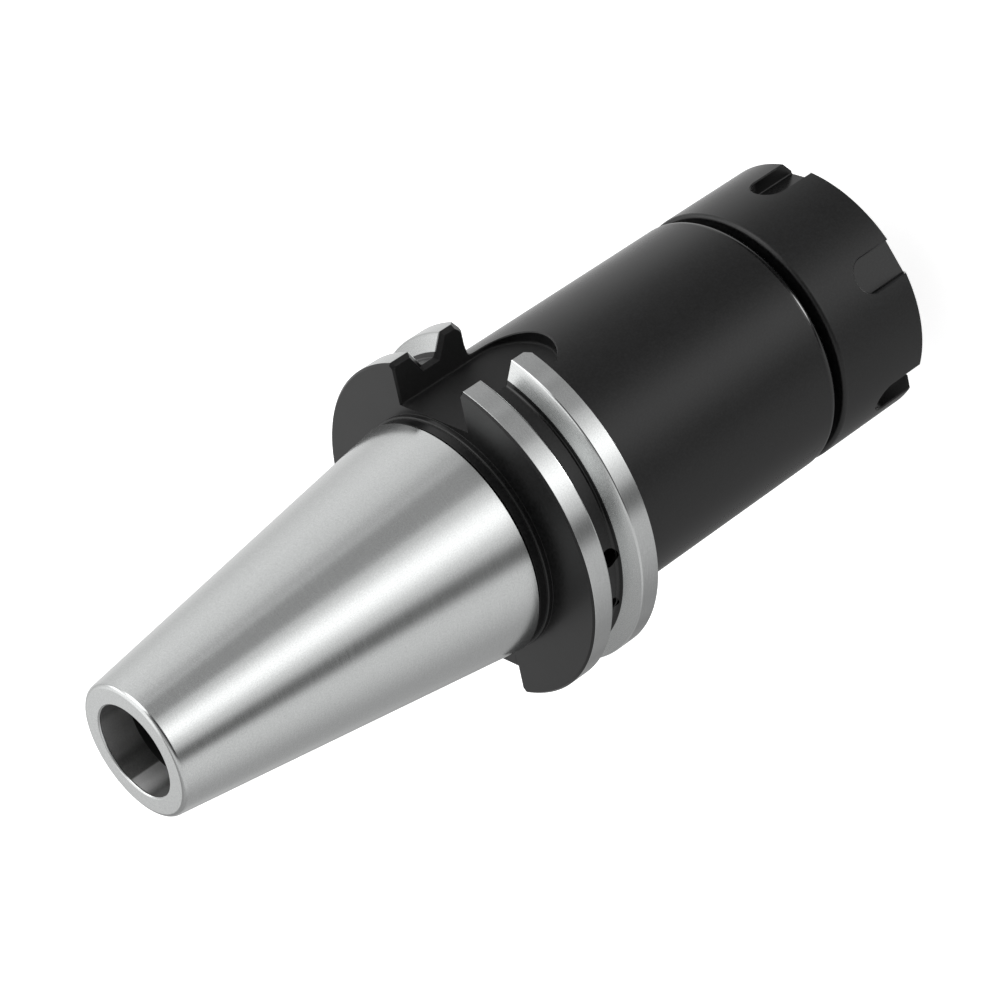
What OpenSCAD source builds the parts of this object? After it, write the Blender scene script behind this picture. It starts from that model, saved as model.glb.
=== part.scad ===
// Collet chuck tool holder with a 7 in 24 taper shank, standing head down on its clamping nut.
// Heights are measured from the front face of the nut, and +Z runs along the axis to the small end.

/* [Taper shank] */
// Diameter of the taper at its gauge line
gauge_d = 44.45; // [43:0.05:46]
// Length of the taper from the gauge line to the small end
taper_l = 68.4; // [60:0.1:80]
// Rounding of the outer rim at the small end
taper_rim_r = 1; // [0.4:0.1:1.6]
// Diameter of the pilot bore for the pull stud
pilot_d = 17; // [15.5:0.1:18.4]
// Depth of the pilot bore
pilot_depth = 8.2; // [5:0.1:14]
// Bevel at the mouth of the pilot bore
pilot_bevel = 0.4; // [0.2:0.1:0.8]
// Diameter of the tapped hole for the pull stud, measured across its crests
stud_hole_d = 14; // [10:0.1:15]
// Depth of the tapped hole, measured from the small end
stud_hole_depth = 43; // [30:0.5:50]
// Diameter of the coolant bore through the shank
coolant_d = 8; // [4:0.5:9]

/* [Neck] */
// Gap from the gauge line to the face of the flange
face_gap = 3.2; // [3:0.1:5]
// How far the ground taper runs on past the gauge line
taper_run_on = 0.1; // [0.05:0.05:0.4]
// Diameter of the relief groove beside the taper
relief_d = 43.2; // [42:0.1:43.6]
// Width of the relief groove
relief_w = 0.45; // [0.3:0.05:0.8]
// Diameter of the plain neck between the relief groove and the collar
neck_d = 44; // [43.7:0.05:44.3]
// Diameter of the collar beside the flange
collar_d = 44.7; // [44.4:0.05:48]
// Width of the collar
collar_w = 1.05; // [0.5:0.05:1.5]

/* [Flange] */
// Outer diameter of the flange
flange_d = 63.55; // [62:0.05:68]
// Width of the flange
flange_w = 15.9; // [14.5:0.1:18]
// Distance from the flange face to the middle of the gripper groove
groove_place = 7.9; // [7.2:0.1:8.6]
// Diameter of the groove floor
groove_floor_d = 56.25; // [54:0.05:58]
// Width of the groove floor
groove_floor_w = 2.86; // [2:0.02:3.6]
// Angle of each groove flank from the plane of the flange
flank_angle = 30; // [20:1:33]
// Bevel at the outer edges of the flange
flange_bevel = 0.45; // [0.2:0.05:0.8]
// Fillet between the back of the flange and the body
back_fillet = 1; // [0.5:0.1:1.6]

/* [Drive slots] */
// Width of both drive slots
slot_w = 16.1; // [14:0.1:18]
// Height of the lower slot floor above the axis
slot_floor_low = 22.6; // [22.4:0.1:24]
// Height of the higher slot floor above the axis
slot_floor_high = 24.8; // [24:0.1:26]
// Reach of the slots from the flange face to the end of their run-out
slot_reach = 26.1; // [20:0.1:32]
// Bevel along the outer edges of the slots
slot_bevel = 0.95; // [0.4:0.05:1.4]

/* [Balance drillings] */
// Diameter of the main balance drilling in the groove floor
balance_main_d = 3.5; // [2:0.1:3.6]
// Depth of the main balance drilling
balance_main_depth = 6; // [2:0.5:9]
// Diameter of the small balance drilling
balance_fine_d = 3.1; // [2:0.1:3.6]
// Depth of the small balance drilling
balance_fine_depth = 1.6; // [1:0.1:6]
// Angle of the small drilling from the main one
balance_fine_turn = 21.5; // [12:0.5:60]

/* [Body and nose] */
// Diameter of the body
body_d = 50; // [48:0.5:54]
// Length of the body from the back of the flange to its shoulder
body_l = 52.3; // [30:0.1:120]
// Bevel at the shoulder of the body
shoulder_bevel = 0.6; // [0.3:0.1:1.2]
// Length of the threaded nose in front of the shoulder
nose_l = 16.5; // [15:0.1:17]
// Outer diameter of the nose thread
thread_d = 40; // [39:0.5:42]
// Pitch of the nose thread
thread_pitch = 1.5; // [1:0.25:2]
// Width of the undercut behind the nose thread
undercut_w = 1.8; // [1:0.1:3]
// Diameter of the stop screw thread behind the collet, measured across its crests
stop_thread_d = 16.4; // [12:0.1:18]
// Length of the stop screw thread
stop_thread_l = 20; // [10:1:24]
// Diameter of the clearance bore for the tool shank
shank_bore_d = 21; // [18.5:0.5:22]
// Length of the clearance bore behind the collet seat
shank_bore_l = 24; // [10:1:26]

/* [Clamping nut] */
// Outer diameter of the nut
nut_d = 50; // [48:0.5:54]
// Length of the nut
nut_l = 22.5; // [22:0.1:24]
// Gap between the nut and the shoulder of the body
nut_gap = 1.4; // [0.8:0.1:3]
// Length of the bevel at the front of the nut
nut_front_bevel_l = 1.8; // [0.6:0.1:2.6]
// Depth of the bevel at the front of the nut
nut_front_bevel_h = 2.2; // [0.6:0.1:3]
// Bevel at the back edge of the nut
nut_back_bevel = 0.5; // [0.2:0.1:1]
// Number of spanner slots
spanner_slots = 6; // [4:1:8]
// Width of each spanner slot
spanner_slot_w = 6.7; // [5:0.1:8]
// Depth of each spanner slot
spanner_slot_depth = 3; // [1:0.1:3.4]
// Length of each spanner slot from the front of the nut
spanner_slot_l = 12.3; // [8:0.1:14]
// Turn of the nut from the drive slots, in degrees
nut_turn = 1; // [0:1:59]
// Thickness of the eccentric lip that draws the collet out
lip_w = 1.9; // [1.4:0.1:2.2]
// Diameter inside the eccentric lip
lip_d = 30.2; // [29.8:0.1:30.6]
// How far the lip sits off the axis
lip_offset = 0.85; // [0.6:0.05:0.95]

/* [Collet] */
// Largest diameter of the collet
collet_d = 33; // [32.6:0.1:33.6]
// Length of the collet
collet_l = 40; // [34:0.5:44]
// Diameter of the collet bore
collet_bore_d = 16; // [6:0.5:17]
// Half angle of the long cone and its seat
seat_angle = 8; // [7:0.5:9]
// Half angle of the short front cone
front_angle = 30; // [27:0.5:32]
// How far the collet face lies inside the nut
collet_inset = 0.3; // [0.1:0.1:0.8]
// Diameter of the collet head in front of its groove
collet_head_d = 31.2; // [30.8:0.1:31.8]
// Distance from the collet face to its groove
collet_groove_place = 3.6; // [3.2:0.1:3.8]
// Width of the collet groove
collet_groove_w = 3; // [2.8:0.1:3.2]
// Diameter of the groove floor in the collet
collet_groove_d = 27.8; // [26:0.1:28]
// Slots cut from each end of the collet
collet_slots = 8; // [4:2:8]
// Width of each collet slot
collet_slot_w = 0.8; // [0.4:0.1:1.2]
// Metal left uncut at the far end of each slot
collet_web = 5; // [3:0.5:8]

/* [Clearances] */
// Radial clearance in the nose thread
thread_clear = 0.06; // [0.02:0.01:0.1]
// Radial clearance in the collet seat
seat_clear = 0.05; // [0.03:0.01:0.1]
// Radial clearance at the front cone of the collet
front_clear = 0.12; // [0.06:0.01:0.2]
// Axial clearance in front of and behind the lip
lip_clear = 0.55; // [0.4:0.05:0.7]

/* [Hidden] */
$fn = 128;
cut = 1;
sliver = 0.01;
arc_steps = 6;
drill_tip_angle = 59;
taper_slope = 7 / 48;
thread_mean_d = thread_d - 0.65 * thread_pitch;
undercut_d = thread_d - 1.8 * thread_pitch;

shoulder_z = nut_l + nut_gap;
nose_z = shoulder_z - nose_l;
flange_back_z = shoulder_z + body_l;
flange_face_z = flange_back_z + flange_w;
gauge_z = flange_face_z + face_gap;
top_z = gauge_z + taper_l;
groove_z = flange_face_z - groove_place;
slot_end_z = flange_face_z - slot_reach;

collet_top_z = collet_inset + collet_l;
groove_low_z = collet_inset + collet_groove_place;
groove_top_z = groove_low_z + collet_groove_w;
cone_low_z = groove_top_z + 0.3;
collet_face_d = collet_head_d - 2 * (collet_groove_place - 0.8) * tan(front_angle);
lip_low_z = groove_low_z + lip_clear;
lip_top_z = lip_low_z + lip_w;
head_room_r = lip_d / 2 + lip_offset + 0.2;
front_mouth_r = collet_face_d / 2 + front_clear - collet_inset * tan(front_angle);

// Radius of the collet's long cone at a height
function cone_r(z) = collet_d / 2 - (z - cone_low_z) * tan(seat_angle);
// Radius of the shank's taper at a height
function taper_r(z) = gauge_d / 2 - (z - gauge_z) * taper_slope;
// Points on an arc of radius r about [x, y], from angle a to angle b
function arc(x, y, r, a, b) =
    [for (i = [0:arc_steps]) let (t = a + (b - a) * i / arc_steps) [x + r * cos(t), y + r * sin(t)]];

// Outline of the shank, neck, flange, body and nose on one side of the axis
module holder_outline() {
    rim_y = top_z - taper_rim_r;
    rim_x = taper_r(top_z) - taper_rim_r;
    flange_r = flange_d / 2;
    floor_r = groove_floor_d / 2;
    flank_run = (flange_r - floor_r) * tan(flank_angle);
    half_floor = groove_floor_w / 2;
    relief_top = gauge_z - taper_run_on;
    relief_low = relief_top - relief_w;
    collar_top = flange_face_z + collar_w;
    collar_round = 0.2;
    relief_edge = 0.1;
    polygon(concat(
        [[0, top_z]],
        arc(rim_x, rim_y, taper_rim_r, 90, 8),
        [[taper_r(relief_top), relief_top],
         [relief_d / 2, relief_top - relief_edge],
         [relief_d / 2, relief_low + relief_edge],
         [neck_d / 2, relief_low],
         [neck_d / 2, collar_top],
         [collar_d / 2 - collar_round, collar_top],
         [collar_d / 2, collar_top - collar_round],
         [collar_d / 2, flange_face_z],
         [flange_r - flange_bevel, flange_face_z],
         [flange_r, flange_face_z - flange_bevel],
         [flange_r, groove_z + half_floor + flank_run],
         [floor_r, groove_z + half_floor],
         [floor_r, groove_z - half_floor],
         [flange_r, groove_z - half_floor - flank_run],
         [flange_r, flange_back_z + flange_bevel],
         [flange_r - flange_bevel, flange_back_z]],
        arc(body_d / 2 + back_fillet, flange_back_z - back_fillet, back_fillet, 90, 180),
        [[body_d / 2, shoulder_z + shoulder_bevel],
         [body_d / 2 - shoulder_bevel, shoulder_z],
         [undercut_d / 2, shoulder_z],
         [undercut_d / 2, shoulder_z - undercut_w],
         [thread_mean_d / 2, shoulder_z - undercut_w - thread_pitch / 2],
         [thread_mean_d / 2, nose_z + thread_pitch / 2],
         [thread_mean_d / 2 - thread_pitch / 2, nose_z],
         [0, nose_z]]
    ));
}

// Everything bored out along the axis, from the small end down to the collet seat
module holder_bores() {
    stud_end_z = top_z - stud_hole_depth;
    seat_end_z = collet_top_z + 0.6;
    seat_end_r = cone_r(seat_end_z) + seat_clear;
    shank_top_z = seat_end_z + shank_bore_l;
    stop_top_z = shank_top_z + stop_thread_l;
    translate([0, 0, top_z - pilot_depth]) cylinder(d = pilot_d, h = pilot_depth + cut);
    translate([0, 0, top_z - pilot_bevel])
        cylinder(d1 = pilot_d, d2 = pilot_d + 4 * pilot_bevel, h = 2 * pilot_bevel);
    translate([0, 0, stud_end_z]) cylinder(d = stud_hole_d, h = stud_hole_depth - pilot_depth + cut);
    drill_tip(stud_hole_d / 2, stud_end_z, -1);
    translate([0, 0, nose_z]) cylinder(d = coolant_d, h = top_z - nose_z - pilot_depth);
    translate([0, 0, seat_end_z - cut]) cylinder(d = shank_bore_d, h = shank_bore_l + cut);
    drill_tip(shank_bore_d / 2, shank_top_z, 1);
    translate([0, 0, shank_top_z - cut]) cylinder(d = stop_thread_d, h = stop_thread_l + cut);
    drill_tip(stop_thread_d / 2, stop_top_z, 1);
    translate([0, 0, nose_z - cut])
        cylinder(
            r1 = cone_r(nose_z - cut) + seat_clear,
            r2 = seat_end_r,
            h = seat_end_z - nose_z + cut
        );
}

// The cone that a drill leaves at the end of a hole of radius r, pointing up or down
module drill_tip(r, z, way) {
    tip_l = r / tan(drill_tip_angle);
    translate([0, 0, z - sliver * way])
        mirror([0, 0, way > 0 ? 0 : 1])
            cylinder(r1 = r, r2 = 0, h = tip_l);
}

// One drive slot on the +Y side, its floor at a height above the axis
module drive_slot(floor_h) {
    deep = flange_d / 2 - floor_h + cut;
    run_z = slot_end_z + slot_w / 2;
    translate([-slot_w / 2, floor_h, run_z]) cube([slot_w, deep, flange_face_z - run_z + cut]);
    translate([0, floor_h, run_z]) rotate([-90, 0, 0]) cylinder(d = slot_w, h = deep);
    for (side = [0, 1]) mirror([side, 0, 0]) slot_edge_bevel();
}

// The bevel along the outer edge of a drive slot, through both rims of the flange
module slot_edge_bevel() {
    edge_x = slot_w / 2 + slot_bevel;
    edge_y = sqrt(pow(flange_d / 2, 2) - edge_x * edge_x);
    translate([0, 0, flange_back_z - cut])
        linear_extrude(flange_w + 2 * cut)
            polygon([
                [slot_w / 2 - cut, edge_y - slot_bevel - cut],
                [edge_x + cut, edge_y + cut],
                [slot_w / 2 - cut, edge_y + cut]
            ]);
}

// A radial drilling in the groove floor, at an angle from +X
module balance_drilling(d, depth, turn) {
    rotate([0, 0, turn])
        translate([groove_floor_d / 2 - depth, 0, groove_z])
            rotate([0, 90, 0]) {
                cylinder(d = d, h = depth + cut);
                mirror([0, 0, 1]) cylinder(d1 = d, d2 = 0, h = d / 2 / tan(drill_tip_angle));
            }
}

module holder_body() {
    color([0.16, 0.16, 0.17])
    difference() {
        rotate_extrude() holder_outline();
        holder_bores();
        drive_slot(slot_floor_low);
        rotate([0, 0, 180]) drive_slot(slot_floor_high);
        balance_drilling(balance_main_d, balance_main_depth, 0);
        balance_drilling(balance_fine_d, balance_fine_depth, -balance_fine_turn);
    }
}

// Section of the nut on one side of the axis, with the lip still concentric and full
module nut_section() {
    bore_r = thread_mean_d / 2 + thread_clear;
    room_z = nose_z - 0.4;
    room_r = thread_d / 2 + 0.2;
    thread_low_z = nose_z + thread_pitch;
    lead = thread_pitch / 2;
    cone_top_z = (head_room_r - front_mouth_r) / tan(front_angle);
    polygon([
        [front_mouth_r, 0],
        [nut_d / 2 - nut_front_bevel_h, 0],
        [nut_d / 2, nut_front_bevel_l],
        [nut_d / 2, nut_l - nut_back_bevel],
        [nut_d / 2 - nut_back_bevel, nut_l],
        [bore_r + lead, nut_l],
        [bore_r, nut_l - lead],
        [bore_r, thread_low_z + lead],
        [room_r, thread_low_z],
        [room_r, room_z],
        [collet_d / 2 + 0.7, room_z],
        [collet_d / 2 + 0.7, lip_top_z],
        [collet_groove_d / 2, lip_top_z],
        [collet_groove_d / 2, lip_low_z],
        [head_room_r, lip_low_z],
        [head_room_r, cone_top_z]
    ]);
}

// One spanner slot on the +X side, open at the front of the nut and round at its end
module spanner_slot() {
    floor_r = nut_d / 2 - spanner_slot_depth;
    round_z = spanner_slot_l - spanner_slot_w / 2;
    translate([floor_r, -spanner_slot_w / 2, -cut])
        cube([spanner_slot_depth + cut, spanner_slot_w, round_z + cut]);
    translate([floor_r, 0, round_z])
        rotate([0, 90, 0]) cylinder(d = spanner_slot_w, h = spanner_slot_depth + cut);
}

module clamping_nut() {
    color([0.13, 0.13, 0.14])
    difference() {
        rotate_extrude() nut_section();
        translate([lip_offset, 0, lip_low_z - sliver]) cylinder(d = lip_d, h = lip_w + 2 * sliver);
        for (i = [0:spanner_slots - 1])
            rotate([0, 0, 90 + nut_turn + i * 360 / spanner_slots]) spanner_slot();
    }
}

// Section of the collet on one side of the axis
module collet_section() {
    bore_r = collet_bore_d / 2;
    head_z = groove_low_z - 0.8;
    edge = 0.4;
    polygon([
        [bore_r + edge, collet_inset],
        [collet_face_d / 2, collet_inset],
        [collet_head_d / 2, head_z],
        [collet_head_d / 2, groove_low_z],
        [collet_groove_d / 2, groove_low_z],
        [collet_groove_d / 2, groove_top_z],
        [collet_d / 2 - 0.3, groove_top_z],
        [collet_d / 2, cone_low_z],
        [cone_r(collet_top_z - edge), collet_top_z - edge],
        [cone_r(collet_top_z) - edge, collet_top_z],
        [bore_r + edge, collet_top_z],
        [bore_r, collet_top_z - edge],
        [bore_r, collet_inset + edge]
    ]);
}

// Slots right across the collet, from one end to a web near the other
module collet_slot_set(low_z, high_z, turn) {
    for (i = [0:collet_slots / 2 - 1])
        rotate([0, 0, turn + i * 360 / collet_slots])
            translate([-collet_d, -collet_slot_w / 2, low_z])
                cube([2 * collet_d, collet_slot_w, high_z - low_z]);
}

module spring_collet() {
    color([0.72, 0.73, 0.74])
    difference() {
        rotate_extrude() collet_section();
        collet_slot_set(collet_inset - cut, collet_top_z - collet_web, 0);
        collet_slot_set(collet_inset + collet_web, collet_top_z + cut, 180 / collet_slots);
    }
}

holder_body();
clamping_nut();
spring_collet();
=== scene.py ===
"""Collet chuck tool holder with a 7 in 24 taper shank, dressed over its packed model.

Everything is worked out in metres in the frame of the packed model. The front face of the nut lies at z = 0
and +Z runs along the axis to the small end of the taper. The drive slots face +Y and -Y.
"""

import math

import bmesh
import bpy
import numpy as np
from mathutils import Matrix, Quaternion, Vector


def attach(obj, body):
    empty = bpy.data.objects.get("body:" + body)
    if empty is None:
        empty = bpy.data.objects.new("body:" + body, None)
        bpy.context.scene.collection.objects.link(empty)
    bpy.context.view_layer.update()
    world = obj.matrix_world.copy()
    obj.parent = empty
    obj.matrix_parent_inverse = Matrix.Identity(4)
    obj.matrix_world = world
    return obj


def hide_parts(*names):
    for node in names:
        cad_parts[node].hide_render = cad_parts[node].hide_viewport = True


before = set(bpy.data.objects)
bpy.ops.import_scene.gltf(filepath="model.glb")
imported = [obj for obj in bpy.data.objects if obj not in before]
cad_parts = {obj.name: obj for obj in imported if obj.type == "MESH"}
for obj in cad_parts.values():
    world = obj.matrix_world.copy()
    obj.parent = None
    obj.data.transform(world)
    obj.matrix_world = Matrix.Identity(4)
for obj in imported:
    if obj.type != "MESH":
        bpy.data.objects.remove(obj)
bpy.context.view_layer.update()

bl_info = {
    "name": "Collet chuck holder",
    "version": (1, 0, 0),
    "blender": (4, 5, 0),
    "location": "View3D > Sidebar > Chuck",
    "description": "Builds a taper shank collet chuck with its nut and spring collet",
    "category": "Add Mesh",
}

MM = 0.001
DEGREES = 180 / math.pi  # degrees in a radian
ROUND_COLUMNS = 288  # columns of a turned surface
CORNER_STEPS = 5  # steps of a rounded corner
SHARP = math.radians(30)  # an edge that bends more than this stays sharp
BAND = "band"  # face attribute with the place of a turned face in its outline
TAPER_SLOPE = 7 / 48  # radius over length of a 7 in 24 taper
DRILL_SLOPE = math.tan(math.radians(59))  # radius over length of a 118 degree drill point
EDGE = 0.06 * MM  # rounding of an edge that was only deburred
FAR = 3 * MM  # how far a cutter reaches out of the metal
NORTH = math.pi / 2  # bearing of the lower drive slot
THREAD_DEPTH = 0.61  # depth of the nose's thread, in pitches
CORE_DEPTH = 0.74  # depth of the nose's core, which lies under its thread's sleeve, in pitches
UNDERCUT_DEPTH = 0.9  # depth of the undercut behind the thread, in pitches
STOP_DEPTH = 0.55  # depth of the stop screw's thread, in pitches


def length(name, mm, about):
    """A length whose default is given in millimetres."""
    return bpy.props.FloatProperty(
        name=name, description=about, default=mm * MM, min=0.0, unit="LENGTH", precision=5
    )


def angle(name, degrees, about):
    """An angle whose default is given in degrees."""
    return bpy.props.FloatProperty(
        name=name, description=about, default=math.radians(degrees), subtype="ANGLE", unit="ROTATION"
    )


def number(name, value, about):
    """A plain number."""
    return bpy.props.FloatProperty(name=name, description=about, default=value)


def count(name, value, about):
    """How many of something."""
    return bpy.props.IntProperty(name=name, description=about, default=value, min=3)


def colour(name, value, about):
    """A colour."""
    return bpy.props.FloatVectorProperty(
        name=name, description=about, default=value, size=3, subtype="COLOR", min=0.0, max=1.0
    )


class ShankSizes(bpy.types.PropertyGroup):
    """Sizes of the taper shank and its neck."""

    gauge_d: length("Gauge diameter", 44.45, "Diameter of the taper at its gauge line")
    gauge_z: length("Gauge height", 95.3, "Height of the gauge line above the nut's front face")
    taper_l: length("Taper length", 68.4, "Length of the taper from the gauge line to the small end")
    rim_r: length("Rim rounding", 0.85, "Rounding of the outer rim at the small end")
    pilot_d: length("Pilot diameter", 17.0, "Diameter of the pilot bore for the pull stud")
    pilot_depth: length("Pilot depth", 8.2, "Depth of the pilot bore")
    pilot_bevel: length("Pilot bevel", 0.22, "Rounded bevel at the mouth of the pilot bore")
    # Below this depth the pilot bore is painted dark, partly as painted shade deep in the bore.
    pilot_ground: length("Ground pilot depth", 6.3, "Depth to which the pilot bore was ground bright")
    stud_d: length("Stud thread diameter", 16.0, "Outer diameter of the pull stud's thread")
    stud_pitch: length("Stud thread pitch", 2.0, "Pitch of the pull stud's thread")
    stud_depth: length("Stud hole depth", 43.0, "Depth of the tapped hole, measured from the small end")
    coolant_d: length("Coolant bore", 8.0, "Diameter of the coolant bore through the shank")
    run_on: length("Taper run-on", 0.1, "How far the ground taper runs on past the gauge line")
    relief_d: length("Relief diameter", 43.2, "Diameter of the relief groove beside the taper")
    relief_w: length("Relief width", 0.45, "Width of the relief groove")
    neck_d: length("Neck diameter", 44.0, "Diameter of the plain neck beside the relief groove")
    collar_d: length("Collar diameter", 44.7, "Diameter of the collar beside the flange")
    collar_w: length("Collar width", 1.05, "Width of the collar")
    collar_round: length("Collar rounding", 0.3, "Rounding of the collar's edge")


class FlangeSizes(bpy.types.PropertyGroup):
    """Sizes of the gripper flange, its drive slots and its balance drillings."""

    flange_d: length("Flange diameter", 63.55, "Outer diameter of the flange")
    face_z: length("Face height", 92.1, "Height of the flange face above the front face of the nut")
    flange_w: length("Flange width", 15.9, "Width of the flange")
    groove_place: length("Groove place", 7.9, "From the flange face to the middle of the groove")
    floor_d: length("Groove floor diameter", 56.25, "Diameter of the groove floor")
    floor_w: length("Groove floor width", 2.86, "Width of the groove floor")
    flank_angle: angle("Flank angle", 30.0, "Angle of each groove flank from the plane of the flange")
    bevel: length("Flange bevel", 0.38, "Bevel at the edge of the flange face")
    back_bevel_l: length("Back bevel length", 0.7, "Length of the bevel at the back of the flange")
    back_bevel_h: length("Back bevel depth", 1.3, "Depth of the bevel at the back of the flange")
    rim_round: length("Groove edge rounding", 0.42, "Rounding of the groove's outer edges")
    root_round: length("Groove root rounding", 0.7, "Rounding between the groove's floor and its flanks")
    corner_cut: length("Lug corner cut", 0.9, "Length of the cut across the rear corner of each lug")
    back_fillet: length("Back fillet", 1.0, "Fillet between the back of the flange and the body")
    slot_w: length("Slot width", 16.1, "Width of both drive slots")
    slot_low: length("Lower slot floor", 22.6, "Height of the lower slot floor above the axis")
    slot_high: length("Higher slot floor", 24.8, "Height of the higher slot floor above the axis")
    slot_reach: length("Slot reach", 26.1, "Reach of the slots from the flange face")
    slot_corner: length("Slot corner", 0.35, "Corner radius along the slot floor")
    lug_bevel: length("Lug bevel", 0.9, "Bevel along the outer edges of the slots")
    lug_face_bevel: length("Lug face bevel", 0.35, "Bevel along the slot edges in the flange face")
    pocket_bevel: length("Pocket bevel", 0.2, "Bevel round the slot's run-out in the body")
    main_d: length("Main balance drilling", 3.5, "Diameter of the main balance drilling")
    main_depth: length("Main drilling depth", 6.0, "Depth of the main balance drilling")
    fine_d: length("Small balance drilling", 3.1, "Diameter of the small balance drilling")
    fine_depth: length("Small drilling depth", 0.9, "Depth of the small balance drilling")
    fine_turn: angle("Small drilling place", -21.5, "Angle of the small drilling from the main one")
    ground_from_d: length("Ground flank start", 57.85, "Diameter from which the flanks are ground")


class BodySizes(bpy.types.PropertyGroup):
    """Sizes of the body, its threaded nose and the bores behind the collet."""

    body_d: length("Body diameter", 50.0, "Diameter of the body")
    shoulder_z: length("Shoulder height", 23.9, "Height of the body's shoulder above the nut's face")
    shoulder_bevel: length("Shoulder bevel", 1.1, "Bevel at the shoulder of the body")
    shoulder_round: length("Shoulder rounding", 2.5, "Rounding between the body and the shoulder's bevel")
    nose_l: length("Nose length", 16.5, "Length of the threaded nose in front of the shoulder")
    thread_d: length("Nose thread diameter", 40.0, "Outer diameter of the nose thread")
    thread_pitch: length("Nose thread pitch", 1.5, "Pitch of the nose thread")
    undercut_w: length("Undercut width", 1.8, "Width of the undercut behind the nose thread")
    thread_play: length("Thread play", 0.09, "Radial play between the threads of nose and nut")
    seat_d: length("Seat diameter", 33.1, "Diameter of the collet seat at the collet's widest place")
    seat_from_z: length("Seat height", 7.2, "Height of that place above the front face of the nut")
    seat_to_z: length("Seat end", 40.9, "Height at which the collet seat ends")
    seat_angle: angle("Seat angle", 8.0, "Half angle of the collet seat")
    shank_bore_d: length("Shank bore", 21.0, "Diameter of the clearance bore for the tool shank")
    shank_bore_l: length("Shank bore length", 24.0, "Length of that bore behind the seat")
    stop_d: length("Stop thread diameter", 18.0, "Outer diameter of the stop screw's thread")
    stop_l: length("Stop thread length", 20.0, "Length of the stop screw's thread")


class NutSizes(bpy.types.PropertyGroup):
    """Sizes of the clamping nut."""

    nut_d: length("Nut diameter", 50.0, "Outer diameter of the nut")
    nut_l: length("Nut length", 22.5, "Length of the nut")
    front_bevel_l: length("Front bevel length", 1.8, "Length of the bevel at the front of the nut")
    front_bevel_h: length("Front bevel depth", 2.2, "Depth of the bevel at the front of the nut")
    back_bevel: length("Back bevel", 0.5, "Bevel at the back edge of the nut")
    slots: count("Spanner slots", 6, "Number of spanner slots")
    slot_w: length("Spanner slot width", 6.7, "Width of each spanner slot")
    slot_depth: length("Spanner slot depth", 3.0, "Depth of each spanner slot")
    slot_corner: length("Spanner slot corner", 0.3, "Corner radius along the floor of each spanner slot")
    slot_l: length("Spanner slot length", 12.3, "Length of each spanner slot from the front of the nut")
    slot_turn: angle("Nut turn", 1.0, "Turn of the nut from the drive slots")
    mouth_d: length("Mouth diameter", 27.86, "Diameter of the mouth round the collet")
    room_d: length("Head room", 32.3, "Diameter of the room round the collet's head")
    cone_angle: angle("Front cone", 30.0, "Half angle of the front cone")
    lip_d: length("Lip diameter", 30.2, "Diameter inside the eccentric lip")
    lip_offset: length("Lip offset", 0.85, "How far the lip sits off the axis")
    lip_z: length("Lip height", 4.45, "Height of the lip above the front face")
    lip_w: length("Lip width", 1.9, "Thickness of the lip")


class ColletSizes(bpy.types.PropertyGroup):
    """Sizes of the spring collet."""

    collet_d: length("Collet diameter", 33.0, "Largest diameter of the collet")
    collet_l: length("Collet length", 40.0, "Length of the collet")
    bore_d: length("Collet bore", 16.0, "Diameter of the collet bore")
    inset: length("Collet inset", 0.3, "How far the collet face lies inside the nut")
    face_d: length("Collet face", 27.97, "Diameter of the collet's front face")
    head_d: length("Collet head", 31.2, "Diameter of the head in front of the groove")
    groove_place: length("Collet groove place", 3.6, "Distance from the collet face to its groove")
    groove_w: length("Collet groove width", 3.0, "Width of the collet groove")
    groove_d: length("Collet groove floor", 27.8, "Diameter of the groove floor")
    slots: count("Collet slots", 8, "Slots cut from each end")
    slot_w: length("Collet slot width", 0.8, "Width of each collet slot")
    web: length("Collet web", 5.0, "Metal left uncut at the far end of each slot")


class ChuckFinishes(bpy.types.PropertyGroup):
    """Colours and roughness of the finishes."""

    black: colour("Black oxide", (0.0033, 0.0033, 0.0035), "Colour of the blackened steel")
    nut_black: colour("Nut black oxide", (0.0036, 0.0037, 0.0039), "Colour of the blackened nut")
    steel: colour("Ground steel", (0.622, 0.633, 0.63), "Colour of the ground steel")
    bore_steel: colour("Bored steel", (0.62, 0.62, 0.62), "Colour of the bored and tapped steel")
    black_rough: number("Black roughness", 0.44, "Roughness of the black oxide")
    steel_rough: number("Steel roughness", 0.2, "Roughness of the ground steel")
    black_gloss: number("Black gloss", 0.5, "Specular level of the black oxide")


class Studio(bpy.types.PropertyGroup):
    """Camera, tent and floor."""

    aim: bpy.props.FloatVectorProperty(
        name="Aim",
        description="Point that the camera looks at",
        default=(-0.000295, 0.000373, 0.081971),
        size=3,
    )
    azimuth: angle("Camera azimuth", 38.345, "Angle of the camera round the axis, from +X")
    elevation: angle("Camera elevation", 30.763, "Angle of the camera above the horizon")
    distance: length("Camera distance", 609.01, "Distance from the aim to the camera")
    roll: angle("Camera roll", 124.132, "Turn of the camera about its own line of sight")
    lens: number("Lens", 129.279, "Focal length on a 36 mm sensor")
    tent: number("Tent brightness", 0.83, "Brightness of the plain wall of the light tent")
    floor_size: length("Floor size", 3000.0, "Half the side of the floor")
    floor_drop: length("Floor drop", 12.4, "Room under the nut, so that it can be unscrewed all the way")


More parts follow.
